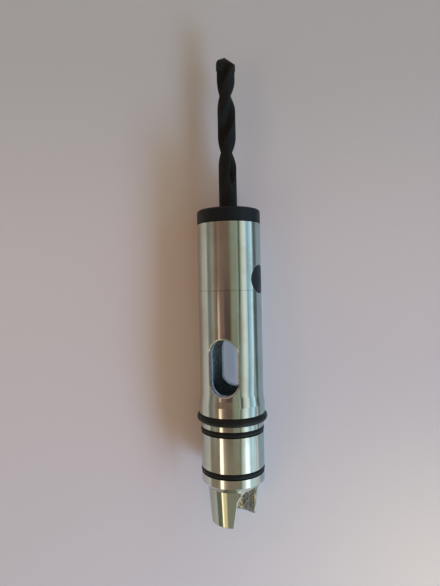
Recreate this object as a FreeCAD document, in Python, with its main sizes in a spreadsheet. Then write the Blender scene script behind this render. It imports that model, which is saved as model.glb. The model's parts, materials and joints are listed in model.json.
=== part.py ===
"""Pilot drill: a masonry drill held in a turned steel body with a drive nose.

Every piece is drawn in the tool's own coordinates: Z runs along the tool from the nose end (0)
to the drill point, X points to the tool's right side and -Y to its upper side as it lies.
A direction round the axis is an azimuth in degrees, 0 at the upper side and 90 at the right side.
One placement then lays the whole tool down, point towards +Y, on its large ring and its mouth ring.
All lengths are in millimetres.
"""
import FreeCAD, Part
import math
import os

import Sketcher
from FreeCAD import Placement, Rotation, Vector

SIZES = [
    # Nose: a hollow cone, then a shoulder
    ("nose_bore", 15.4),
    ("nose_wall", 1.7),
    ("nose_taper", 1.05),
    ("nose_length", 14.8),
    ("nose_lead_in", 1.0),
    ("shoulder_length", 2.6),
    # Drive slot across the nose
    ("drive_slot_azimuth", 49.0),
    ("drive_slot_width", 13.0),
    ("drive_slot_mouth", 13.8),
    ("drive_slot_over", 1.3),
    ("drive_slot_round", 0.5),
    ("worn_corner_round", 2.2),
    # Land with the rings, each ring's centre measured from the step or ring below it
    ("land_diameter", 26.0),
    ("lower_ring_rise", 4.6),
    ("middle_ring_rise", 16.5),
    ("large_ring_rise", 4.9),
    ("thin_ring_section", 2.2),
    ("thin_ring_proud", 0.15),
    ("large_ring_section", 3.3),
    ("large_ring_proud", 1.55),
    ("large_ring_press", 0.1),
    ("groove_side_gap", 0.12),
    # Collar above the large ring, and the flare up to the barrel
    ("collar_step", 0.55),
    ("collar_rise", 5.7),
    ("flare_length", 3.4),
    ("flare_blend", 12.0),
    # Barrel, turned a little larger below than at its polished mouth
    ("tube_diameter", 26.0),
    ("turning_step", 0.05),
    ("barrel_length", 70.2),
    ("polished_length", 27.5),
    ("tube_wall", 3.2),
    ("bore_floor_rise", 2.0),
    ("bore_floor_cone", 2.0),
    ("edge_break", 0.4),
    # Window through both walls, just above the flare
    ("window_azimuth", -16.0),
    ("window_offset", -0.35),
    ("window_width", 11.0),
    ("window_length", 22.2),
    ("window_rise", 1.0),
    ("window_rim_round", 0.6),
    # Round hole over the clamp screw, and its plug
    ("side_hole_azimuth", 63.5),
    ("side_hole_diameter", 11.5),
    ("side_hole_depth", 23.1),
    ("plug_clearance", 0.05),
    ("plug_edge_round", 0.35),
    # Black holder with its mouth ring
    ("mouth_ring_thickness", 5.4),
    ("mouth_ring_round", 1.0),
    ("socket_depth", 39.7),
    ("socket_end_wall", 4.0),
    ("holder_clearance", 0.05),
    ("drill_clearance", 0.04),
    # Clamp screw
    ("screw_diameter", 6.0),
    ("screw_clearance", 0.05),
    ("screw_chamfer", 0.6),
    ("screw_sink", 0.5),
    ("hex_key", 3.0),
    ("hex_depth", 3.0),
    # Drill, an 8 mm size: its body is smaller than the carbide plate
    ("cutting_diameter", 8.0),
    ("body_relief", 0.3),
    ("drill_length", 102.2),
    ("drill_end_gap", 0.2),
    ("flat_depth", 0.4),
    ("flat_length", 9.0),
    ("flute_azimuth", -55.9),
    ("flute_length", 45.4),
    ("flute_lead", 46.7),
    ("flute_opening", 13.0),
    ("web_thickness", 2.8),
    ("runout_length", 6.0),
    ("runout_angle", 25.0),
    ("head_shoulder_drop", 3.2),
    # Carbide plate
    ("plate_azimuth", 109.0),
    ("plate_thickness", 2.0),
    ("plate_height", 5.6),
    ("plate_corner", 0.6),
    ("braze_gap", 0.03),
    ("point_angle", 130.0),
    ("relief_angle", 20.0),
    # Cutters run this far past the faces that they cut through
    ("overcut", 2.0),
]

os.makedirs("parts", exist_ok=True)
doc = FreeCAD.newDocument("PilotDrill")
sheet = doc.addObject("Spreadsheet::Sheet", "size")
for row, (alias, number) in enumerate(SIZES, start=1):
    sheet.set(f"A{row}", alias)
    sheet.set(f"B{row}", str(number))
    sheet.setAlias(f"B{row}", alias)
doc.recompute()

ROUND_THE_AXIS = Vector(0, 1, 0)
ORIGIN_POINT = (-1, 1)
CLOSE = 0.01
FACET_BLOCK_WIDTHS = 4

# Radii
NOSE_BORE = "(size.nose_bore / 2)"
NOSE_END = f"({NOSE_BORE} + size.nose_wall)"
NOSE_ROOT = f"({NOSE_END} + size.nose_taper)"
LAND = "(size.land_diameter / 2)"
THIN_RING = f"({LAND} + size.thin_ring_proud)"
LARGE_RING = f"({LAND} + size.large_ring_proud)"
THIN_GROOVE = f"({THIN_RING} - size.thin_ring_section)"
LARGE_GROOVE = f"({LARGE_RING} - size.large_ring_section)"
COLLAR = f"({LAND} + size.collar_step)"
TUBE = "(size.tube_diameter / 2)"
TURNED = f"({TUBE} + size.turning_step)"
BORE = f"({TUBE} - size.tube_wall)"
HOLDER = f"({BORE} - size.holder_clearance)"
SIDE_HOLE = "(size.side_hole_diameter / 2)"
PLATE = "(size.cutting_diameter / 2)"
DRILL = f"({PLATE} - size.body_relief)"
SOCKET = f"({DRILL} + size.drill_clearance)"
SHANK_FLAT = f"({DRILL} - size.flat_depth)"
SCREW = "(size.screw_diameter / 2)"
SCREW_TOP = f"({HOLDER} - size.screw_sink)"

# Half widths of the drive slot, at its arch and at its mouth
HALF_SLOT = "(size.drive_slot_width / 2)"
HALF_MOUTH = "(size.drive_slot_mouth / 2)"

# Heights from the nose end
ARCH_BASE = f"(size.nose_length + size.drive_slot_over - {HALF_SLOT})"
SHOULDER_TOP = "(size.nose_length + size.shoulder_length)"
LOWER_RING_AT = f"({SHOULDER_TOP} + size.lower_ring_rise)"
MIDDLE_RING_AT = f"({LOWER_RING_AT} + size.middle_ring_rise)"
LARGE_RING_AT = f"({MIDDLE_RING_AT} + size.large_ring_rise)"
BORE_FLOOR = f"({LARGE_RING_AT} + size.bore_floor_rise)"
COLLAR_TOP = f"({LARGE_RING_AT} + size.collar_rise)"
FLARE_TOP = f"({COLLAR_TOP} + size.flare_length)"
WINDOW_AT = f"({FLARE_TOP} + size.window_rise + size.window_length / 2)"
TUBE_TOP = f"({FLARE_TOP} + size.barrel_length)"
TURNED_TOP = f"({TUBE_TOP} - size.polished_length)"
SIDE_HOLE_AT = f"({TUBE_TOP} - size.side_hole_depth)"
RING_TOP = f"({TUBE_TOP} + size.mouth_ring_thickness)"
SOCKET_FLOOR = f"({RING_TOP} - size.socket_depth)"
HOLDER_END = f"({SOCKET_FLOOR} - size.socket_end_wall)"
DRILL_END = f"({SOCKET_FLOOR} + size.drill_end_gap)"
POINT = f"({DRILL_END} + size.drill_length)"
FLUTE_START = f"({POINT} - size.flute_length)"
HEAD_SHOULDER = f"({POINT} - size.head_shoulder_drop)"
PLATE_SEAT = f"({POINT} - size.plate_height)"


def measure(expression):
    """The length in millimetres that an expression gives."""
    return float(sheet.evalExpression(expression))


def origin_feature(body, role):
    """The origin plane or axis of a body that has this role."""
    return next(part for part in body.Origin.OriginFeatures if part.Role == role)


def side_sketch(body, name, azimuth="0", distance="0"):
    """A sketch that faces an azimuth: x runs round the tool and y along it, at a distance from the axis."""
    sketch = body.newObject("Sketcher::SketchObject", name)
    sketch.AttachmentSupport = (origin_feature(body, "XZ_Plane"), [""])
    sketch.MapMode = "FlatFace"
    sketch.AttachmentOffset = Placement(Vector(), Rotation(ROUND_THE_AXIS, 1))
    sketch.setExpression("AttachmentOffset.Rotation.Angle", azimuth)
    sketch.setExpression("AttachmentOffset.Base.x", f"({distance}) * sin({azimuth})")
    sketch.setExpression("AttachmentOffset.Base.z", f"({distance}) * cos({azimuth})")
    return sketch


def cross_sketch(body, name, height="0"):
    """A sketch across the piece's Z axis, at a height on it."""
    sketch = body.newObject("Sketcher::SketchObject", name)
    sketch.AttachmentSupport = (origin_feature(body, "XY_Plane"), [""])
    sketch.MapMode = "FlatFace"
    sketch.setExpression("AttachmentOffset.Base.z", height)
    return sketch


def bind(sketch, kind, place, expression):
    """Add one dimension to a sketch and tie it to the sheet."""
    index = sketch.addConstraint(Sketcher.Constraint(kind, *place, measure(expression)))
    sketch.setExpression(f"Constraints[{index}]", expression)


def pin_point(sketch, geometry, point, across, along):
    """Tie one point of a sketch to its two coordinates."""
    bind(sketch, "DistanceX", (*ORIGIN_POINT, geometry, point), across)
    bind(sketch, "DistanceY", (*ORIGIN_POINT, geometry, point), along)


def point_at(across, along):
    """The place of a point whose coordinates are two expressions."""
    return Vector(measure(across), measure(along), 0)


def outline(sketch, corners):
    """Draw a closed outline of straight edges, each corner at its two expressions."""
    places = [point_at(across, along) for across, along in corners]
    count = len(corners)
    for index in range(count):
        sketch.addGeometry(Part.LineSegment(places[index], places[(index + 1) % count]), False)
    for index in range(count):
        sketch.addConstraint(Sketcher.Constraint("Coincident", index, 2, (index + 1) % count, 1))
    for index, (across, along) in enumerate(corners):
        pin_point(sketch, index, 1, across, along)


def circle(sketch, radius, along):
    """Draw a circle centred on the sketch's upright axis."""
    sketch.addGeometry(Part.Circle(point_at("0", along), Vector(0, 0, 1), measure(radius)), False)
    pin_point(sketch, 0, 3, "0", along)
    bind(sketch, "Radius", (0,), radius)


def turned(body, name, corners):
    """Turn an outline of (radius, height) corners about the piece's axis."""
    sketch = side_sketch(body, name + "Outline")
    outline(sketch, corners)
    solid = body.newObject("PartDesign::Revolution", name)
    solid.Profile = sketch
    solid.ReferenceAxis = (sketch, ["V_Axis"])
    solid.Angle = 360
    doc.recompute()
    return solid


def cut_through(body, name, sketch, both_ways):
    """Cut a sketch through everything, outwards from its plane or to both sides of it."""
    before = body.Shape.Volume
    pocket = body.newObject("PartDesign::Pocket", name)
    pocket.Profile = sketch
    pocket.Type = "ThroughAll"
    pocket.Midplane = both_ways
    pocket.Reversed = not both_ways
    doc.recompute()
    if not pocket.Shape.Volume < before:
        raise RuntimeError(f"{name} cuts nothing")
    return pocket


def distance_from_axis(point):
    return math.hypot(point.x, point.y)


def middle_of(edge):
    return edge.valueAt((edge.FirstParameter + edge.LastParameter) / 2)


def edge_names(shape, test):
    """Names of the edges that pass a test."""
    return [f"Edge{number}" for number, edge in enumerate(shape.Edges, start=1) if test(edge)]


def turned_edges(shape, radius, height):
    """Names of the turned edges at a radius and a height."""

    def at_place(edge):
        middle = middle_of(edge)
        off_radius = abs(distance_from_axis(middle) - measure(radius))
        return off_radius < CLOSE and abs(middle.z - measure(height)) < CLOSE

    return edge_names(shape, at_place)


def round_off(body, name, base, names, radius):
    """Round the named edges of a feature."""
    fillet = body.newObject("PartDesign::Fillet", name)
    fillet.Base = (base, names)
    fillet.setExpression("Radius", radius)
    doc.recompute()
    return fillet


def groove(centre, bottom, section, upper_land):
    """The four corners of a ring's groove, from the nose side up."""
    half = f"(size.{section} / 2 + size.groove_side_gap)"
    low = f"{centre} - {half}"
    high = f"{centre} + {half}"
    return [(LAND, low), (bottom, low), (bottom, high), (upper_land, high)]


def make_body_tube():
    """The steel body: one turning, hollow right through, with every groove, hole and slot."""
    body = doc.addObject("PartDesign::Body", "body_tube")
    turning = turned(body, "BodyTurning", [
        (NOSE_BORE, "size.nose_lead_in"),
        (f"{NOSE_BORE} + size.nose_lead_in", "0"),
        (f"{NOSE_END} - size.edge_break", "0"),
        (NOSE_END, "size.edge_break"),
        (NOSE_ROOT, "size.nose_length"),
        (LAND, SHOULDER_TOP),
        *groove(LOWER_RING_AT, THIN_GROOVE, "thin_ring_section", LAND),
        *groove(MIDDLE_RING_AT, THIN_GROOVE, "thin_ring_section", LAND),
        *groove(LARGE_RING_AT, LARGE_GROOVE, "large_ring_section", COLLAR),
        (COLLAR, COLLAR_TOP),
        (TURNED, FLARE_TOP),
        (TURNED, TURNED_TOP),
        (TUBE, TURNED_TOP),
        (TUBE, f"{TUBE_TOP} - size.edge_break"),
        (f"{TUBE} - size.edge_break", TUBE_TOP),
        (f"{BORE} + size.edge_break", TUBE_TOP),
        (BORE, f"{TUBE_TOP} - size.edge_break"),
        (BORE, f"{BORE_FLOOR} + size.bore_floor_cone"),
        (NOSE_BORE, BORE_FLOOR),
    ])
    foot = turned_edges(turning.Shape, TURNED, FLARE_TOP)
    round_off(body, "FlareBlend", turning, foot, "size.flare_blend")

    window = side_sketch(body, "WindowOutline", "size.window_azimuth")
    draw_window(window)
    pocket = cut_through(body, "Window", window, both_ways=True)
    rim = edge_names(pocket.Shape, on_window_rim)
    round_off(body, "WindowRim", pocket, rim, "size.window_rim_round")

    hole = side_sketch(body, "SideHoleOutline", "size.side_hole_azimuth")
    circle(hole, SIDE_HOLE, SIDE_HOLE_AT)
    cut_through(body, "SideHole", hole, both_ways=False)

    slot = side_sketch(body, "DriveSlotOutline", "size.drive_slot_azimuth")
    draw_drive_slot(slot)
    pocket = cut_through(body, "DriveSlot", slot, both_ways=True)
    rim = edge_names(pocket.Shape, on_drive_slot_rim)
    round_off(body, "DriveSlotRim", pocket, rim, "size.drive_slot_round")
    corner = side_sketch(body, "WornCornerOutline", "size.drive_slot_azimuth")
    draw_worn_corner(corner)
    cut_through(body, "WornCorner", corner, both_ways=False)
    return body


def on_window_rim(edge):
    """True for an edge on the barrel's outside that stays within the window's length."""
    half = sheet.window_length / 2 + CLOSE
    box = edge.BoundBox
    inside = box.ZMin > measure(WINDOW_AT) - half and box.ZMax < measure(WINDOW_AT) + half
    return inside and abs(distance_from_axis(middle_of(edge)) - measure(TURNED)) < CLOSE


def on_drive_slot_rim(edge):
    """True for an edge of the slot on the outside of the nose or shoulder, so no turned or straight edge."""
    if isinstance(edge.Curve, Part.Line) or edge.BoundBox.ZLength < CLOSE:
        return False
    middle = middle_of(edge)
    if middle.z < sheet.nose_length:
        share = (middle.z - sheet.edge_break) / (sheet.nose_length - sheet.edge_break)
        outside = measure(NOSE_END) + share * sheet.nose_taper
    else:
        share = (middle.z - sheet.nose_length) / sheet.shoulder_length
        outside = measure(NOSE_ROOT) + share * (measure(LAND) - measure(NOSE_ROOT))
    return 0 < share < 1 and abs(distance_from_axis(middle) - outside) < CLOSE


def arc_about(centre, radius, start, end):
    """A circular arc between two angles in radians."""
    return Part.ArcOfCircle(Part.Circle(centre, Vector(0, 0, 1), radius), start, end)


def draw_window(sketch):
    """A long hole with round ends: two half circles joined by two straight sides."""
    half_width = "size.window_width / 2"
    upper = f"{WINDOW_AT} + size.window_length / 2 - {half_width}"
    lower = f"{WINDOW_AT} - size.window_length / 2 + {half_width}"
    radius = measure(half_width)
    top = point_at("size.window_offset", upper)
    bottom = point_at("size.window_offset", lower)
    side = Vector(radius, 0, 0)
    sketch.addGeometry(arc_about(top, radius, 0, math.pi), False)
    sketch.addGeometry(Part.LineSegment(top - side, bottom - side), False)
    sketch.addGeometry(arc_about(bottom, radius, math.pi, math.tau), False)
    sketch.addGeometry(Part.LineSegment(bottom + side, top + side), False)
    for first, second in ((0, 1), (1, 2), (2, 3), (3, 0)):
        sketch.addConstraint(Sketcher.Constraint("Tangent", first, 2, second, 1))
    pin_point(sketch, 0, 3, "size.window_offset", upper)
    pin_point(sketch, 2, 3, "size.window_offset", lower)
    bind(sketch, "Radius", (0,), half_width)


def draw_drive_slot(sketch):
    """A slot that opens at the nose end, a little wider there, under a half-round arch."""
    half_below = slot_wall("-size.overcut")
    corners = [
        (f"-{HALF_SLOT}", ARCH_BASE),
        (f"-{half_below}", "-size.overcut"),
        (half_below, "-size.overcut"),
        (HALF_SLOT, ARCH_BASE),
    ]
    places = [point_at(across, along) for across, along in corners]
    for start, end in zip(places, places[1:]):
        sketch.addGeometry(Part.LineSegment(start, end), False)
    sketch.addGeometry(arc_about(point_at("0", ARCH_BASE), measure(HALF_SLOT), 0, math.pi), False)
    for first, second in ((0, 1), (1, 2), (2, 3), (3, 0)):
        sketch.addConstraint(Sketcher.Constraint("Coincident", first, 2, second, 1))
    for index, (across, along) in enumerate(corners):
        pin_point(sketch, index, 1, across, along)
    bind(sketch, "DistanceY", (*ORIGIN_POINT, 3, 3), ARCH_BASE)


def slot_wall(height):
    """Half the drive slot's width at a height from the nose end, under its arch."""
    return f"({HALF_SLOT} + ({HALF_MOUTH} - {HALF_SLOT}) * (1 - ({height}) / {ARCH_BASE}))"


def draw_worn_corner(sketch):
    """What is worn off the lower tang's right corner, outside a quarter circle."""
    reach = "size.worn_corner_round"
    below = "-size.overcut"
    wall = slot_wall(reach)
    beside = f"{wall} - size.overcut"
    inside = f"{wall} + {reach}"
    corners = [(wall, reach), (beside, reach), (beside, below), (inside, below), (inside, "0")]
    places = [point_at(across, along) for across, along in corners]
    for start, end in zip(places, places[1:]):
        sketch.addGeometry(Part.LineSegment(start, end), False)
    sketch.addGeometry(arc_about(point_at(inside, reach), measure(reach), math.pi, 3 * math.pi / 2), False)
    for first, end, second, start in ((0, 2, 1, 1), (1, 2, 2, 1), (2, 2, 3, 1), (3, 2, 4, 2), (4, 1, 0, 1)):
        sketch.addConstraint(Sketcher.Constraint("Coincident", first, end, second, start))
    for index, (across, along) in enumerate(corners[:-1]):
        pin_point(sketch, index, 1, across, along)
    pin_point(sketch, 3, 2, *corners[-1])
    bind(sketch, "DistanceY", (*ORIGIN_POINT, 4, 3), reach)


def make_drill_holder():
    """The black holder: a ring that closes the tube's mouth, on a spigot bored for the drill."""
    body = doc.addObject("PartDesign::Body", "drill_holder")
    turning = turned(body, "HolderTurning", [
        ("0", HOLDER_END),
        (f"{HOLDER} - size.edge_break", HOLDER_END),
        (HOLDER, f"{HOLDER_END} + size.edge_break"),
        (HOLDER, TUBE_TOP),
        (TUBE, TUBE_TOP),
        (TUBE, RING_TOP),
        (f"{SOCKET} + size.edge_break", RING_TOP),
        (SOCKET, f"{RING_TOP} - size.edge_break"),
        (SOCKET, SOCKET_FLOOR),
        ("0", SOCKET_FLOOR),
    ])
    rim = turned_edges(turning.Shape, TUBE, RING_TOP)
    round_off(body, "MouthRingRound", turning, rim, "size.mouth_ring_round")

    hole = side_sketch(body, "ScrewHoleOutline", "size.side_hole_azimuth")
    circle(hole, f"{SCREW} + size.screw_clearance", SIDE_HOLE_AT)
    cut_through(body, "ScrewHole", hole, both_ways=False)
    return body


def make_drill_shaft():
    """The drill's steel: a plain shank with a clamping flat, two helical flutes and a slotted head."""
    body = doc.addObject("PartDesign::Body", "drill_shaft")
    turned(body, "DrillTurning", [
        ("0", DRILL_END),
        (f"{DRILL} - size.edge_break", DRILL_END),
        (DRILL, f"{DRILL_END} + size.edge_break"),
        (DRILL, HEAD_SHOULDER),
        ("0", f"{HEAD_SHOULDER} + {DRILL} / tan(size.point_angle / 2)"),
    ])

    section = side_sketch(body, "FluteOutline", "size.flute_azimuth")
    draw_flute(section)
    flute = make_helix(body, "Flute", section)
    flute.setExpression("Height", "size.flute_length + size.flute_opening / 2 + size.overcut")
    doc.recompute()
    runout = make_helix(body, "FluteRunout", section)
    runout.setExpression("Height", "size.runout_length")
    runout.setExpression("Angle", "size.runout_angle")
    runout.Reversed = True
    doc.recompute()
    pair = body.newObject("PartDesign::PolarPattern", "FlutePair")
    pair.Originals = [flute, runout]
    pair.Axis = (origin_feature(body, "Z_Axis"), [""])
    pair.Occurrences = 2
    body.Tip = pair
    doc.recompute()

    slot = side_sketch(body, "PlateSlotOutline", "size.plate_azimuth")
    half = "(size.plate_thickness / 2 + size.braze_gap)"
    above = f"{POINT} + size.overcut"
    outline(slot, [(f"-{half}", PLATE_SEAT), (half, PLATE_SEAT), (half, above), (f"-{half}", above)])
    cut_through(body, "PlateSlot", slot, both_ways=True)

    flat = side_sketch(body, "ShankFlatOutline", "size.side_hole_azimuth", SHANK_FLAT)
    low = f"{SIDE_HOLE_AT} - size.flat_length / 2"
    high = f"{SIDE_HOLE_AT} + size.flat_length / 2"
    outline(flat, [(f"-{DRILL}", low), (DRILL, low), (DRILL, high), (f"-{DRILL}", high)])
    cut_through(body, "ShankFlat", flat, both_ways=False)
    return body


def draw_flute(sketch):
    """A circular arc as deep as the web allows and as long as the flute is at the surface."""
    depth = f"({DRILL} - size.web_thickness / 2)"
    arc_radius = f"((size.flute_opening / 2) ^ 2 + {depth} ^ 2) / (2 * {depth})"
    centre = f"size.web_thickness / 2 + {arc_radius}"
    outside = f"{DRILL} + size.overcut"
    radius = measure(arc_radius)
    middle = point_at(centre, FLUTE_START)
    half_angle = math.acos((middle.x - measure(outside)) / radius)
    rise = radius * math.sin(half_angle)
    sketch.addGeometry(arc_about(middle, radius, math.pi - half_angle, math.pi + half_angle), False)
    lower = Vector(measure(outside), middle.y - rise, 0)
    upper = Vector(measure(outside), middle.y + rise, 0)
    sketch.addGeometry(Part.LineSegment(lower, upper), False)
    sketch.addConstraint(Sketcher.Constraint("Coincident", 0, 2, 1, 1))
    sketch.addConstraint(Sketcher.Constraint("Coincident", 1, 2, 0, 1))
    pin_point(sketch, 0, 3, centre, FLUTE_START)
    bind(sketch, "Radius", (0,), arc_radius)
    bind(sketch, "DistanceX", (*ORIGIN_POINT, 1, 1), outside)
    bind(sketch, "DistanceX", (*ORIGIN_POINT, 1, 2), outside)


def make_helix(body, name, section):
    """Sweep the flute's section round the drill's axis, right-handed, and cut it away."""
    helix = body.newObject("PartDesign::SubtractiveHelix", name)
    helix.Profile = section
    helix.ReferenceAxis = (section, ["V_Axis"])
    helix.Mode = 0
    helix.setExpression("Pitch", "size.flute_lead")
    return helix


def make_carbide_tip():
    """The carbide plate: ground round at the sides, with two relieved cutting edges on top."""
    seat = Vector(0, 0, measure(PLATE_SEAT))
    turn = Rotation(Vector(0, 0, 1), sheet.plate_azimuth - 90)
    blank = doc.addObject("Part::Box", "PlateBlank")
    blank.setExpression("Length", "size.cutting_diameter")
    blank.setExpression("Width", "size.plate_thickness")
    blank.setExpression("Height", "size.plate_height + size.overcut")
    corner = Vector(-sheet.cutting_diameter / 2, -sheet.plate_thickness / 2, 0)
    blank.Placement = Placement(seat + turn.multVec(corner), turn)
    rod = doc.addObject("Part::Cylinder", "PlateSides")
    rod.setExpression("Radius", PLATE)
    rod.setExpression("Height", "size.plate_height + size.overcut")
    rod.Placement = Placement(seat, Rotation())

    block = FACET_BLOCK_WIDTHS * sheet.cutting_diameter
    slope = 1 / math.tan(math.radians(sheet.point_angle / 2))
    relief = math.tan(math.radians(sheet.relief_angle))
    half_thickness = sheet.plate_thickness / 2
    edge_height = Vector(0, 0, measure(POINT) + half_thickness * relief)
    facets = []
    for side in (1, -1):
        facet = doc.addObject("Part::Box", "Facet")
        for length in ("Length", "Width", "Height"):
            facet.setExpression(length, f"{FACET_BLOCK_WIDTHS} * size.cutting_diameter")
        lean = Rotation(Vector(0, 0, 1), turn.multVec(Vector(side * slope, -side * relief, 1)))
        on_edge = edge_height + turn.multVec(Vector(0, side * half_thickness, 0))
        facet.Placement = Placement(on_edge - lean.multVec(Vector(block / 2, block / 2, block)), lean)
        facets.append(facet)
    ground = doc.addObject("Part::MultiCommon", "PlateGround")
    ground.Shapes = [blank, rod] + facets
    doc.recompute()
    tip = doc.addObject("Part::Chamfer", "carbide_tip")
    tip.Base = ground
    tip.Edges = [
        (number, sheet.plate_corner, sheet.plate_corner)
        for number, edge in enumerate(ground.Shape.Edges, start=1)
        if edge.BoundBox.ZMax < seat.z + CLOSE
        and distance_from_axis(middle_of(edge)) > measure(PLATE) - CLOSE
    ]
    doc.recompute()
    return tip


def radial_placement():
    """Stands a piece in the side hole: its Z outwards from the axis, its Y along the tool."""
    upright = Rotation(Vector(1, 0, 0), 90)
    turn = Rotation(Vector(0, 0, 1), sheet.side_hole_azimuth)
    return Placement(Vector(0, 0, measure(SIDE_HOLE_AT)), turn.multiply(upright))


def make_clamp_screw():
    """A headless screw with a hexagon socket, its end on the shank's flat."""
    body = doc.addObject("PartDesign::Body", "clamp_screw")
    screw = turned(body, "ScrewTurning", [
        ("0", SHANK_FLAT),
        (f"{SCREW} - size.screw_chamfer", SHANK_FLAT),
        (SCREW, f"{SHANK_FLAT} + size.screw_chamfer"),
        (SCREW, f"{SCREW_TOP} - size.screw_chamfer"),
        (f"{SCREW} - size.screw_chamfer", SCREW_TOP),
        ("0", SCREW_TOP),
    ])
    socket = cross_sketch(body, "HexOutline", SCREW_TOP)
    corner = "size.hex_key / sqrt(3)"
    outline(socket, [
        (f"{corner} * cos({angle} deg)", f"{corner} * sin({angle} deg)") for angle in range(0, 360, 60)
    ])
    pocket = body.newObject("PartDesign::Pocket", "HexSocket")
    pocket.Profile = socket
    pocket.setExpression("Length", "size.hex_depth")
    doc.recompute()
    if not pocket.Shape.Volume < screw.Shape.Volume:
        raise RuntimeError("HexSocket cuts nothing")
    return body


def make_side_plug():
    """A round press-in plug whose outer face follows the tube's surface."""
    pin = doc.addObject("Part::Cylinder", "PlugPin")
    pin.setExpression("Radius", f"{SIDE_HOLE} - size.plug_clearance")
    pin.setExpression("Height", "size.tube_wall + size.overcut")
    pin.Placement = Placement(Vector(0, 0, measure(BORE)), Rotation())
    face = doc.addObject("Part::Cylinder", "PlugFace")
    face.setExpression("Radius", TUBE)
    face.setExpression("Height", "2 * size.side_hole_diameter")
    face.Placement = Placement(Vector(0, sheet.side_hole_diameter, 0), Rotation(Vector(1, 0, 0), 90))
    trimmed = doc.addObject("Part::MultiCommon", "PlugTrimmed")
    trimmed.Shapes = [pin, face]
    doc.recompute()
    rounded = doc.addObject("Part::Fillet", "side_plug")
    rounded.Base = trimmed
    rounded.Edges = [
        (number, sheet.plug_edge_round, sheet.plug_edge_round)
        for number, edge in enumerate(trimmed.Shape.Edges, start=1)
        if edge.BoundBox.ZMin > measure(BORE) + CLOSE
    ]
    doc.recompute()
    return rounded


def make_ring(label, outer, section):
    """A rubber ring whose inside lies on the bottom of its groove."""
    ring = doc.addObject("Part::Torus", label)
    ring.setExpression("Radius1", f"{outer} - {section} / 2")
    ring.setExpression("Radius2", f"{section} / 2")
    return ring


def make_large_ring(place):
    """The large rubber ring, pressed flat where the tool's weight rests on it."""
    whole = make_ring("LargeRingWhole", LARGE_RING, "size.large_ring_section")
    surface = doc.addObject("Part::Box", "SurfaceUnderRing")
    for length in ("Length", "Width", "Height"):
        surface.setExpression(length, f"2 * {LARGE_RING}")
    corner = -measure(LARGE_RING) * Vector(1, 1, 2) + Vector(0, place.Base.y, 0)
    surface.Placement = place.inverse().multiply(Placement(corner, Rotation()))
    pressed = doc.addObject("Part::Cut", "large_o_ring")
    pressed.Base = whole
    pressed.Tool = surface
    return pressed


def standing_at(height):
    """Stands a piece square on the axis at a height from the nose end."""
    return Placement(Vector(0, 0, measure(height)), Rotation())


def lying_placement():
    """Lays the tool on a flat surface.

    It touches at the large ring, pressed in a little, and at the mouth ring's rounded rim,
    so the axis dips towards the point by the angle at which both touch. The origin lies on
    the surface under the middle of the tool's length.
    """
    ring_circle = measure(LARGE_RING) - sheet.large_ring_section / 2
    ring_rise = sheet.large_ring_section / 2 - sheet.large_ring_press
    ring_height = measure(LARGE_RING_AT)
    rim_circle = measure(TUBE) - sheet.mouth_ring_round
    rim_height = measure(RING_TOP) - sheet.mouth_ring_round
    span = rim_height - ring_height
    step = ring_circle - rim_circle
    rest = ring_rise - sheet.mouth_ring_round
    dip = math.atan2(step, span) + math.asin(rest / math.hypot(span, step))
    nose_rise = ring_circle * math.cos(dip) + ring_rise + ring_height * math.sin(dip)
    middle = measure(POINT) / 2 * math.cos(dip)
    turn = Rotation(Vector(1, 0, 0), -90 - math.degrees(dip))
    return Placement(Vector(0, -middle, nose_rise), turn)


def main():
    lying = lying_placement()
    thin_section = "size.thin_ring_section"
    pieces = [
        (make_body_tube(), Placement()),
        (make_drill_holder(), Placement()),
        (make_drill_shaft(), Placement()),
        (make_carbide_tip(), Placement()),
        (make_clamp_screw(), radial_placement()),
        (make_side_plug(), radial_placement()),
        (make_large_ring(lying.multiply(standing_at(LARGE_RING_AT))), standing_at(LARGE_RING_AT)),
        (make_ring("middle_o_ring", THIN_RING, thin_section), standing_at(MIDDLE_RING_AT)),
        (make_ring("lower_o_ring", THIN_RING, thin_section), standing_at(LOWER_RING_AT)),
    ]
    for piece, place in pieces:
        piece.Placement = lying.multiply(place)
    doc.recompute()

    for item in doc.Objects:
        if "Invalid" in item.State or "Error" in item.State:
            raise RuntimeError(f"{item.Label} failed: {item.State}")
    for piece, _ in pieces:
        if piece.Shape.isNull() or not piece.Shape.isValid():
            raise RuntimeError(f"{piece.Label} has no valid shape")
    for piece, _ in pieces:
        piece.Shape.exportStep(f"parts/{piece.Label}.step")
        print(piece.Label, "volume", round(piece.Shape.Volume, 2), "solids", len(piece.Shape.Solids))


main()
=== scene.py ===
import json
import math

import bpy
import numpy as np
from mathutils import Euler, Matrix, Vector

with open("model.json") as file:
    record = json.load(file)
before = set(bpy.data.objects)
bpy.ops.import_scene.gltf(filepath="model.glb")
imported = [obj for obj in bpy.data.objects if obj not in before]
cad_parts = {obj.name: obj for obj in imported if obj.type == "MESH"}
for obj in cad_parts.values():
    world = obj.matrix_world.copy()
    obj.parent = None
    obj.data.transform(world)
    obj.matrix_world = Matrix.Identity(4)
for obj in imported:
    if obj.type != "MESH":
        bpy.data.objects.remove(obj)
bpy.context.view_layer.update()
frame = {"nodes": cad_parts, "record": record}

# The body: one turning of free-cutting steel, bright zinc plated and dull inside, where its bore's darker
# colour is painted shade. It has fine circular tool marks, coarser ones below its witness line. It lies
# with its axis dipped a little towards the drill point, and heights along it are counted from its nose end,
# in metres.
nodes = frame["nodes"]

# the record's spigot mount lies on the tool's axis and points towards the nose end
spigot = next(mount for mount in frame["record"]["mounts"] if mount["name"] == "spigot")
spigot_place = Vector(spigot["pos_m"])
to_point = -Vector(spigot["axis"]).normalized()
dip = math.atan2(-to_point.z, to_point.y)


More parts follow.
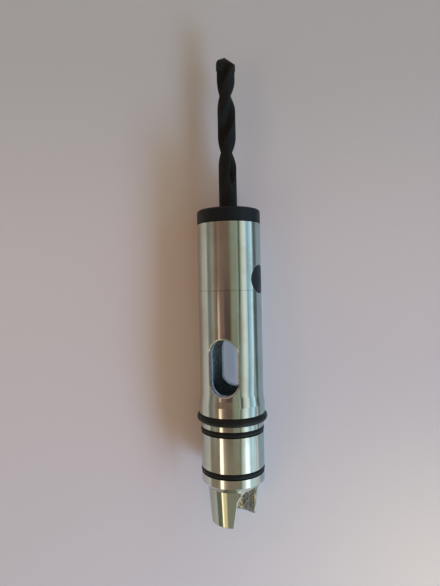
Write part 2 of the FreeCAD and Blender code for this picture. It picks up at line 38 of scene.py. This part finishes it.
def heights_of(name, start):
    """The lowest and highest height that a CAD node reaches along the tool, from a start point."""
    mesh = nodes[name].data
    places = np.zeros(len(mesh.vertices) * 3)
    mesh.vertices.foreach_get("co", places)
    heights = (places.reshape(-1, 3) - np.array(start)) @ np.array(to_point)
    return heights.min(), heights.max()


nose_end = spigot_place + to_point * heights_of("body_tube", spigot_place)[0]
witness_below_top = 0.0275
witness_height = heights_of("body_tube", nose_end)[1] - witness_below_top


def new_material(name, colour, roughness, metallic=0.0, specular=None):
    """A material with its node tree and its main shader."""
    material = bpy.data.materials.new(name)
    material.use_nodes = True
    shader = material.node_tree.nodes["Principled BSDF"]
    shader.inputs["Base Color"].default_value = (*colour, 1)
    shader.inputs["Roughness"].default_value = roughness
    shader.inputs["Metallic"].default_value = metallic
    if specular is not None:
        shader.inputs["Specular IOR Level"].default_value = specular
    return material, material.node_tree, shader


def finish_node(name, material):
    """Give a CAD node's slots one finish."""
    for slot in nodes[name].material_slots:
        slot.material = material


def shader_node(tree, kind, inputs=None, output=0, **settings):
    """Add a shader node. Each input takes a number, a colour or another node's output."""
    made = tree.nodes.new("ShaderNode" + kind)
    for name, setting in settings.items():
        setattr(made, name, setting)
    for name, value in (inputs or {}).items():
        if isinstance(value, bpy.types.NodeSocket):
            tree.links.new(value, made.inputs[name])
        else:
            made.inputs[name].default_value = value
    return made.outputs[output]


def reckon(tree, operation, *values):
    """One step of arithmetic on numbers or node outputs."""
    return shader_node(tree, "Math", dict(enumerate(values)), operation=operation)


def product(tree, first, *others):
    """All the values multiplied."""
    for other in others:
        first = reckon(tree, "MULTIPLY", first, other)
    return first


def fade(tree, value, start, end, low=0.0, high=1.0):
    """Goes smoothly from low to high while the value goes from start to end."""
    limits = {"Value": value, "From Min": start, "From Max": end, "To Min": low, "To Max": high}
    return shader_node(tree, "MapRange", limits, interpolation_type="SMOOTHSTEP")


def blend_colours(tree, share, first, second, how="MIX"):
    """The first colour where the share is 0; where it is 1, the second, or their sum with ADD."""
    first, second = (colour if isinstance(colour, bpy.types.NodeSocket) else (*colour, 1)
                     for colour in (first, second))
    return shader_node(tree, "Mix", {"Factor": share, "A": first, "B": second},
                       output="Result", data_type="RGBA", blend_type=how)


def separate(tree, place):
    """The three coordinates of a place."""
    parts = tree.nodes.new("ShaderNodeSeparateXYZ")
    tree.links.new(place, parts.inputs["Vector"])
    return parts.outputs["X"], parts.outputs["Y"], parts.outputs["Z"]


def tool_coordinates(tree):
    """Object coordinates turned so that Y is the height along the tool and X and Z cross its axis."""
    place = shader_node(tree, "TexCoord", output="Object")
    nose_shift = -(Matrix.Rotation(dip, 3, "X") @ nose_end)
    return shader_node(tree, "Mapping", {"Vector": place, "Rotation": (dip, 0, 0), "Location": nose_shift})


def height_at(tree, place):
    """Height along the tool."""
    return separate(tree, place)[1]


def radius_at(tree, place):
    """Distance from the tool's axis."""
    x, _, z = separate(tree, place)
    return reckon(tree, "SQRT", reckon(tree, "ADD", product(tree, x, x), product(tree, z, z)))


def mottle(tree, place, size, detail=3.0, stretch=(1, 1, 1)):
    """Soft noise with blotches about this wide in metres, longer where the stretch is above 1."""
    scale = [1 / (size * factor) for factor in stretch]
    spread = shader_node(tree, "Mapping", {"Vector": place, "Scale": scale}, vector_type="POINT")
    return shader_node(tree, "TexNoise", {"Vector": spread, "Scale": 1.0, "Detail": detail}, output="Fac")


def blotches(tree, place, size, limits, detail=3.0, stretch=(1, 1, 1), between=(0.0, 1.0)):
    """The same noise made harder: it goes from one value to another between two limits."""
    return fade(tree, mottle(tree, place, size, detail, stretch), *limits, *between)


def relief(tree, shader, *layers, depth):
    """Small relief on a surface: the layers, each already weighted, are summed and scaled to a depth."""
    total = layers[0]
    for layer in layers[1:]:
        total = reckon(tree, "ADD", total, layer)
    raised = shader_node(tree, "Bump", {"Height": total, "Distance": depth, "Strength": 1.0})
    tree.links.new(raised, shader.inputs["Normal"])


plating, tree, shader = new_material("bright_zinc_plating", (0.64, 0.64, 0.59),
                                     roughness=0.12, metallic=1.0)
place = tool_coordinates(tree)
radius = radius_at(tree, place)
height = height_at(tree, place)

# a radius inside the wall parts the outer faces from the inner ones, in the nose, spigot and barrel
nose_root = 0.0148
shoulder = 0.0174
flare = (0.0500, 0.0530)
nose_parting = 0.0089
spigot_parting = 0.0123
barrel_more = 0.0004
parting_blur = 0.0002
parting = reckon(tree, "ADD", fade(tree, height, nose_root, shoulder, nose_parting, spigot_parting),
                 fade(tree, height, *flare, high=barrel_more))
inside = fade(tree, reckon(tree, "SUBTRACT", parting, radius), -parting_blur, parting_blur)

# the outside: soft tarnish, a worn nose, and the dark witness line
smudges = mottle(tree, place, size=0.006, detail=4.0, stretch=(1, 2.5, 1))
tarnish = blotches(tree, place, size=0.012, limits=(0.42, 0.66), detail=5.0)
clean_colour = blend_colours(tree, tarnish, (0.65, 0.66, 0.635), (0.59, 0.58, 0.54))
on_nose = fade(tree, height, start=0.0150, end=0.0144)
nose_wear = product(tree, on_nose, fade(tree, smudges, start=0.25, end=0.6, low=0.6))
worn_colour = blend_colours(tree, nose_wear, clean_colour, (0.52, 0.51, 0.44))
from_witness = reckon(tree, "ABSOLUTE", reckon(tree, "SUBTRACT", height, witness_height))
witness_line = fade(tree, from_witness, start=0.0003, end=0.0001, high=0.34)
outer_colour = blend_colours(tree, witness_line, worn_colour, (0.20, 0.20, 0.18))

# the inside: the bore, its colour painted darker as shade; the milled cuts through the wall, painted dark
# as shade with one wavy painted highlight line and painted highlight streaks; and the far tang's torn face
# with its painted glints
# painted shade: the bore's colour is darker than the outside, in blotches
bore_blotches = blotches(tree, place, size=0.0015, limits=(0.45, 0.62), detail=4.0)
bore_shade_colour = blend_colours(tree, bore_blotches, (0.42, 0.52, 0.57), (0.30, 0.38, 0.41))
# painted highlight: a wavy white line across the cut faces, and white streaks; the faces themselves are
# painted dark as shade
highlight_waves = mottle(tree, place, size=0.0026, detail=2.0, stretch=(1, 1.6, 1))
highlight_wave_depth = 0.0022
wavy_highlight_radius = reckon(tree, "MULTIPLY_ADD", highlight_waves, highlight_wave_depth, radius)
painted_highlight_line = product(tree, fade(tree, wavy_highlight_radius, start=0.0113, end=0.0117),
                    fade(tree, wavy_highlight_radius, start=0.0127, end=0.0123))
highlight_streaks = blotches(tree, place, size=0.0010, limits=(0.47, 0.55), stretch=(0.7, 4, 0.7))
highlight_streak_share = 0.35
painted_highlights = reckon(tree, "MAXIMUM", painted_highlight_line, product(tree, highlight_streaks, highlight_streak_share))
cut_face_shade_and_highlights = blend_colours(tree, painted_highlights, (0.09, 0.14, 0.16), (1.0, 1.0, 1.0))
past_bore = fade(tree, radius, start=0.0097, end=0.0100)
inner_colour = blend_colours(tree, past_bore, bore_shade_colour, cut_face_shade_and_highlights)
speckle = blotches(tree, place, size=0.0008, limits=(0.44, 0.60))
tang_colour = blend_colours(tree, speckle, (0.42, 0.43, 0.40), (0.15, 0.15, 0.14))
# painted glints: small warm-white painted highlights on the upper far tang
painted_glints = product(tree, blotches(tree, place, size=0.0009, limits=(0.56, 0.61), detail=2.0),
                 fade(tree, height, start=0.0075, end=0.0095))
tang_colour = blend_colours(tree, painted_glints, tang_colour, (1.0, 0.95, 0.80))
on_tangs = fade(tree, height, start=0.0185, end=0.0165)
inner_colour = blend_colours(tree, on_tangs, inner_colour, tang_colour)
body_colour = blend_colours(tree, inside, outer_colour, inner_colour)
tree.links.new(body_colour, shader.inputs["Base Color"])

# the polish, and the tool marks that go round
line_width = 0.0002
turned_coarse = fade(tree, height, witness_height, witness_height - line_width)
polish = fade(tree, turned_coarse, start=0, end=1, low=0.12, high=0.09)
smudge_roughness = 0.05
inside_roughness = 0.18
smudged = fade(tree, smudges, start=0.4, end=0.7)
roughness = reckon(tree, "MULTIPLY_ADD", smudged, smudge_roughness, polish)
roughness = reckon(tree, "MULTIPLY_ADD", inside, inside_roughness, roughness)
tree.links.new(roughness, shader.inputs["Roughness"])
turning_lines = mottle(tree, place, size=0.00022, detail=2.0, stretch=(90, 1, 90))
feed_waves = {"Vector": place, "Scale": 700.0, "Distortion": 0.6, "Detail": 1.0}
feed_marks = shader_node(tree, "TexWave", feed_waves, output="Fac", bands_direction="Y")
chatter = mottle(tree, place, size=0.0009, detail=2.0, stretch=(3, 1, 3))
line_weight = 0.35
feed_weight = 0.45
chatter_weight = 60.0
relief(tree, shader, product(tree, turning_lines, line_weight),
       product(tree, feed_marks, turned_coarse, feed_weight),
       product(tree, chatter, inside, chatter_weight), depth=0.000004)
shader.inputs["Anisotropic"].default_value = 0.4
tangent = shader_node(tree, "Tangent", direction_type="RADIAL", axis="Y")
tree.links.new(tangent, shader.inputs["Tangent"])
finish_node("body_tube", plating)

# The holder: a steel spigot and ring turned as one piece and blackened. It is pressed into the
# tube's mouth, so only the ring shows, with fine turning marks and a rim rubbed a little grey.
blacking, tree, shader = new_material("satin_black_holder", (0.007, 0.009, 0.012),
                                      roughness=0.42, specular=0.28)
place = tool_coordinates(tree)
ring_top = heights_of("drill_holder", nose_end)[1]
rim_start = ring_top - 0.0012
rim_end = ring_top - 0.0003
on_rim = fade(tree, height_at(tree, place), rim_start, rim_end)
rubbed = product(tree, blotches(tree, place, size=0.002, limits=(0.5, 0.7), detail=4.0), on_rim)
holder_colour = blend_colours(tree, rubbed, (0.006, 0.008, 0.012), (0.021, 0.023, 0.026))
tree.links.new(holder_colour, shader.inputs["Base Color"])
satin = blotches(tree, place, size=0.003, limits=(0.35, 0.7), between=(0.40, 0.52))
tree.links.new(satin, shader.inputs["Roughness"])
turning_lines = mottle(tree, place, size=0.0003, detail=2.0, stretch=(60, 1, 60))
relief(tree, shader, turning_lines, depth=0.000004)
finish_node("drill_holder", blacking)

# The drill: a hardened steel blank with two ground helical flutes and a matt black oxide skin.
# Its lands are rubbed smoother than its flutes by the hole that it drills.
oxide, tree, shader = new_material("matt_black_oxide", (0.012, 0.012, 0.013),
                                   roughness=0.55, specular=0.2)
place = tool_coordinates(tree)
in_flute = fade(tree, radius_at(tree, place), start=0.00366, end=0.00345)
oxide_mottle = mottle(tree, place, size=0.0016, detail=5.0, stretch=(1, 3, 1))
oxide_wear = fade(tree, oxide_mottle, start=0.45, end=0.7)
land_colour = blend_colours(tree, oxide_wear, (0.009, 0.009, 0.011), (0.014, 0.014, 0.015))
drill_colour = blend_colours(tree, in_flute, land_colour, (0.009, 0.009, 0.010))
tree.links.new(drill_colour, shader.inputs["Base Color"])
tree.links.new(fade(tree, in_flute, start=0, end=1, low=0.58, high=0.66), shader.inputs["Roughness"])
grind_weight = 0.6
oxide_weight = 0.5
grind_marks = mottle(tree, place, size=0.0004, stretch=(1, 4, 1))
relief(tree, shader, product(tree, grind_marks, grind_weight),
       product(tree, oxide_mottle, oxide_weight), depth=0.00001)
finish_node("drill_shaft", oxide)

# The carbide plate: sintered tungsten carbide, brazed into the head and blackened with it. The
# ground edges at its very top are rubbed to a dark grey.
carbide, tree, shader = new_material("blackened_carbide", (0.010, 0.010, 0.011),
                                     roughness=0.6, specular=0.22)
place = tool_coordinates(tree)
drill_point = heights_of("carbide_tip", nose_end)[1]
wear_start = drill_point - 0.0022
wear_end = drill_point - 0.0004
near_point = fade(tree, height_at(tree, place), wear_start, wear_end)
worn_edge = product(tree, near_point, blotches(tree, place, size=0.0006, limits=(0.4, 0.6), detail=4.0))
carbide_colour = blend_colours(tree, worn_edge, (0.009, 0.009, 0.010), (0.040, 0.040, 0.043))
tree.links.new(carbide_colour, shader.inputs["Base Color"])
relief(tree, shader, mottle(tree, place, size=0.00035, detail=4.0), depth=0.000012)
finish_node("carbide_tip", carbide)

# The clamp screw: a headless hexagon socket screw of hardened steel, oiled black. It is shut in
# under the plug.
screw_black, tree, shader = new_material("oiled_black_screw", (0.015, 0.015, 0.016), roughness=0.38)
place = tool_coordinates(tree)
oil_film = blotches(tree, place, size=0.001, limits=(0.4, 0.7), between=(0.30, 0.5))
tree.links.new(oil_film, shader.inputs["Roughness"])
relief(tree, shader, mottle(tree, place, size=0.0003), depth=0.000006)
finish_node("clamp_screw", screw_black)

# The side plug: a round press-in plug of black plastic over the clamp screw. Its moulded face
# follows the tube and has a fine grain.
plug_plastic, tree, shader = new_material("satin_black_plug", (0.012, 0.013, 0.017),
                                          roughness=0.40, specular=0.3)
place = tool_coordinates(tree)
plug_satin = blotches(tree, place, size=0.002, limits=(0.4, 0.65), between=(0.34, 0.46))
tree.links.new(plug_satin, shader.inputs["Roughness"])
relief(tree, shader, mottle(tree, place, size=0.00018, detail=2.0), depth=0.000008)
finish_node("side_plug", plug_plastic)

# The three rubber rings: moulded nitrile rings, a thick one above two thin ones. They sit
# stretched in their grooves, dull black, with a little dust and grease.
rubber, tree, shader = new_material("black_nitrile", (0.009, 0.011, 0.012),
                                    roughness=0.45, specular=0.28)
place = tool_coordinates(tree)
dust_share = 0.5
dust = product(tree, blotches(tree, place, size=0.0009, limits=(0.58, 0.74), detail=5.0), dust_share)
rubber_colour = blend_colours(tree, dust, (0.008, 0.011, 0.011), (0.030, 0.031, 0.029))
tree.links.new(rubber_colour, shader.inputs["Base Color"])
grease = blotches(tree, place, size=0.003, limits=(0.35, 0.65), between=(0.34, 0.52))
tree.links.new(grease, shader.inputs["Roughness"])
relief(tree, shader, mottle(tree, place, size=0.00025), depth=0.00001)
for name in ("large_o_ring", "middle_o_ring", "lower_o_ring"):
    finish_node(name, rubber)

# The surface that the tool lies on: plain pale paper, smooth, with a faint fibre grain. Each fade
# across it runs between two positions in metres from the tool's middle. In mirrored rays alone it
# has other colours, which were adjusted until the metal looked as in the photograph.
paper, tree, shader = new_material("pale_paper", (0.78, 0.74, 0.80), roughness=0.9, specular=0.2)
place = shader_node(tree, "TexCoord", output="Object")
sideways, lengthways, _ = separate(tree, place)
fibres = mottle(tree, place, size=0.0012)
paper_colour = blend_colours(tree, fibres, (0.77, 0.73, 0.79), (0.79, 0.75, 0.81))
# a painted pool of light: the paper is lighter and warmer near the nose end on the right
painted_light_corner = product(tree, fade(tree, sideways, -0.03, 0.10), fade(tree, lengthways, -0.03, -0.14))
paper_colour = blend_colours(tree, painted_light_corner, paper_colour, (0.98, 0.90, 0.84))
# painted shade: the paper is darker and bluer towards the point end
painted_shade_far_end = fade(tree, lengthways, 0.0, 0.11)
paper_colour = blend_colours(tree, painted_shade_far_end, paper_colour, (0.64, 0.65, 0.71))

# painted reflections: the paper as mirrored rays see it, with a painted dark patch on the right and painted
# bright patches before the nose and far to the left
near_left = fade(tree, sideways, -0.055, -0.030)
mirrored_paper = blend_colours(tree, near_left, (0.82, 0.87, 0.82), (0.74, 0.70, 0.76))
right_half = fade(tree, sideways, -0.005, 0.005)
mirrored_paper = blend_colours(tree, right_half, mirrored_paper, (0.50, 0.66, 0.76))
dark_right = product(tree, fade(tree, sideways, 0.072, 0.080), fade(tree, lengthways, -0.100, -0.070))
mirrored_paper = blend_colours(tree, dark_right, mirrored_paper, (0.15, 0.21, 0.22))
before_nose = product(tree, fade(tree, sideways, 0.005, 0.015), fade(tree, lengthways, -0.097, -0.110))
mirrored_paper = blend_colours(tree, before_nose, mirrored_paper, (0.95, 1.0, 1.0))
pale_left = fade(tree, sideways, -0.06, -0.12)
mirrored_paper = blend_colours(tree, pale_left, mirrored_paper, (0.95, 1.0, 0.93))
in_mirror = shader_node(tree, "LightPath", output="Is Glossy Ray")
paper_colour = blend_colours(tree, in_mirror, paper_colour, mirrored_paper)
tree.links.new(paper_colour, shader.inputs["Base Color"])

# stands for the daylight that falls through the body's window: a faint glow of the paper under it
window_glow = 0.20
beside_axis = fade(tree, reckon(tree, "ABSOLUTE", sideways), 0.009, 0.005)
along_window = product(tree, fade(tree, lengthways, -0.046, -0.041), fade(tree, lengthways, -0.014, -0.018))
shader.inputs["Emission Color"].default_value = (0.60, 0.76, 1.0, 1)
tree.links.new(product(tree, beside_axis, along_window, window_glow), shader.inputs["Emission Strength"])

paper_reach = 3.0
corners = paper_reach * np.array([[-1, -1, 0], [1, -1, 0], [1, 1, 0], [-1, 1, 0]], float)
floor_mesh = bpy.data.meshes.new("paper")
floor_mesh.from_pydata(corners.tolist(), [], [(0, 1, 2, 3)])
floor_mesh.materials.append(paper)
floor = bpy.data.objects.new("paper", floor_mesh)
bpy.context.scene.collection.objects.link(floor)

# The main light: daylight from low on the right, beyond the nose end. It is one soft panel, set
# by its angles in degrees across the tool, from overhead towards the right, and along it, towards
# the point. The bright metal doesn't mirror it, only the room below.
panel_distance = 0.5
panel_across = (38, 56)
panel_along = (-52, -32)
panel_radiance = 15.2
panel_middle = math.radians(sum(panel_across) / 2)
panel_low, panel_high = (panel_distance * math.tan(math.radians(angle)) for angle in panel_along)
daylight = bpy.data.lights.new("window_daylight", "AREA")
daylight.shape = "RECTANGLE"
daylight.size = 2 * panel_distance * math.tan(math.radians((panel_across[1] - panel_across[0]) / 2))
daylight.size_y = panel_high - panel_low
daylight.color = (0.42, 0.62, 0.92)
daylight.energy = panel_radiance * math.pi * daylight.size * daylight.size_y
panel = bpy.data.objects.new("window_daylight", daylight)
panel_direction = Vector((math.sin(panel_middle), 0, math.cos(panel_middle)))
panel.location = panel_direction * panel_distance + Vector((0, (panel_low + panel_high) / 2, 0))
panel.rotation_euler = Euler((0, panel_middle, 0))
panel.visible_camera = False
panel.visible_glossy = False
bpy.context.scene.collection.objects.link(panel)

# The room, as the bright metal mirrors it; the camera itself sees plain grey. Each line is one band
# of it: its angle in degrees across the tool, from overhead towards the right, and its colour, read
# from the photograph across the body at that angle, then rounded and adjusted. It stands for a room.
room_across = [
    (-90, (0.20, 0.21, 0.19)),
    (-80, (0.21, 0.22, 0.18)),
    (-69, (0.35, 0.34, 0.28)),
    (-60, (0.27, 0.23, 0.18)),
    (-52, (0.17, 0.12, 0.08)),
    (-43, (0.30, 0.20, 0.15)),
    (-34, (0.22, 0.144, 0.108)),
    (-5, (0.19, 0.143, 0.10)),
    (3, (0.28, 0.28, 0.20)),
    (12, (0.30, 0.33, 0.24)),
    (20, (0.27, 0.31, 0.23)),
    (26, (0.40, 0.47, 0.38)),
    (31, (0.12, 0.14, 0.10)),
    (35, (0.27, 0.32, 0.26)),
    (42, (0.68, 0.74, 0.62)),
    (50, (0.82, 0.92, 0.84)),
    (57, (0.76, 0.92, 0.92)),
    (64, (0.24, 0.38, 0.44)),
    (69, (0.36, 0.58, 0.68)),
    (76, (0.50, 0.78, 0.90)),
    (83, (0.76, 1.12, 1.34)),
    (86, (0.62, 0.90, 1.05)),
    (90, (0.12, 0.19, 0.23)),
]
half_turn = 180

# a place in the room has an angle across, and along the tool a share of 1 towards the point
world = bpy.data.worlds.new("room")
bpy.context.scene.world = world
world.use_nodes = True
tree = world.node_tree
sky_x, along, sky_z = separate(tree, shader_node(tree, "TexCoord", output="Generated"))
across = reckon(tree, "MULTIPLY", reckon(tree, "ARCTAN2", sky_x, sky_z), half_turn / math.pi)


def patch(*edges):
    """A soft-edged patch of the room: the product of fades, each a value with its start and end."""
    return product(tree, *(fade(tree, *edge) for edge in edges))


def paint(room, share, colour):
    """The room with a patch of it in another colour."""
    return blend_colours(tree, share, room, colour)


def add_light(room, share, colour):
    """The room with a share of a colour added to it."""
    return blend_colours(tree, share, room, colour, how="ADD")


# the bands slant by some degrees towards the nose end
slant_degrees = 10
slant = product(tree, patch((along, -0.15, -0.34), (across, -5, 25)), slant_degrees)
across_share = reckon(tree, "MULTIPLY_ADD", reckon(tree, "ADD", across, slant), 1 / half_turn, 0.5)
ramp = tree.nodes.new("ShaderNodeValToRGB")
ramp.color_ramp.interpolation = "EASE"
tree.links.new(across_share, ramp.inputs["Fac"])
stops = ramp.color_ramp.elements
stops[0].position = 0.0
stops[0].color = (*room_across[0][1], 1)
stops[1].position = 1.0
stops[1].color = (*room_across[-1][1], 1)
for angle, colour in room_across[1:-1]:
    stops.new(angle / half_turn + 0.5).color = (*colour, 1)
room = ramp.outputs["Color"]

# a darker patch overhead, a thin dark line, and the ends of the room
overhead = patch((along, 0.022, 0.008), (along, -0.25, -0.22), (across, -27, -22), (across, 1, -4))
room = paint(room, overhead, (0.112, 0.076, 0.066))
dark_line = patch((along, -0.20, -0.16), (across, 27, 30), (across, 35, 32))
room = paint(room, dark_line, (0.03, 0.04, 0.03))
glossy = shader_node(tree, "LightPath", output="Is Glossy Ray")
warm_end = blend_colours(tree, glossy, (0.62, 0.27, 0.09), (0.42, 0.33, 0.29))
room = paint(room, patch((along, 0.22, 0.45), (across, 48, 40)), warm_end)
room = paint(room, patch((along, -0.26, -0.36), (across, 26, 16)), (0.29, 0.25, 0.18))
room = paint(room, patch((along, -0.42, -0.50), (across, -60, -68)), (0.17, 0.20, 0.19))
# the daylight's brighter lower part
low_daylight = patch((along, -0.24, -0.34), (across, 39, 45), (across, 66, 54))
room = paint(room, low_daylight, (1.6, 1.85, 1.9))
# the warm lamp on the left, brighter towards the nose end, with its glow
lamp_share = 0.75
narrow_strip = ((across, -51, -48), (across, -42, -45), (along, -0.47, -0.40))
lamp_strip = ((across, -52, -48), (across, -36, -42), (along, -0.47, -0.40))
far_lamp = patch((along, 0.02, -0.05), *narrow_strip)
room = add_light(room, product(tree, far_lamp, lamp_share), (1.0, 0.76, 0.54))
near_lamp = patch((along, -0.16, -0.21), *lamp_strip)
room = add_light(room, product(tree, near_lamp, lamp_share), (1.0, 0.82, 0.50))
room = add_light(room, patch((along, -0.27, -0.32), *lamp_strip), (1.4, 1.3, 1.0))
lamp_glow = patch((along, -0.26, -0.32), (along, -0.46, -0.40), (across, -50, -45), (across, -18, -44))
room = add_light(room, lamp_glow, (0.40, 0.33, 0.22))
# what the tapered nose mirrors: a grey ceiling and two bright strips
nose_ceiling = patch((along, -0.42, -0.48), (across, -38, -28), (across, 26, 16))
room = paint(room, nose_ceiling, (0.31, 0.32, 0.25))
nose_strip = ((along, -0.42, -0.48), (along, -0.66, -0.58), (across, -64, -60))
room = add_light(room, patch((across, -32, -42), *nose_strip), (0.80, 0.68, 0.36))
room = add_light(room, patch((across, -54, -58), *nose_strip), (1.6, 1.6, 1.2))
# pale daylight past the nose end on the right
room = paint(room, patch((along, -0.24, -0.33), (across, 68, 76)), (0.66, 0.86, 0.88))
background = tree.nodes["Background"]
seen = shader_node(tree, "LightPath", output="Is Camera Ray")
tree.links.new(blend_colours(tree, seen, room, (0.62, 0.61, 0.60)), background.inputs["Color"])

# The camera: it looks straight down from hand height, a little to the left of the tool, with the
# lens of a hand-held camera. Its focal length is counted in the photograph's pixels.
photo_height = 586
focal_pixels = 470
camera_tilt = (-1.63, -2.32, -1.1)
view = bpy.data.cameras.new("camera")
view.sensor_width = 36
view.lens = focal_pixels * view.sensor_width / photo_height
camera = bpy.data.objects.new("camera", view)
camera.location = (-0.0119, 0.0045, 0.2086)
camera.rotation_euler = [math.radians(angle) for angle in camera_tilt]
bpy.context.scene.collection.objects.link(camera)
bpy.context.scene.camera = camera

bpy.context.scene.view_settings.view_transform = "Standard"
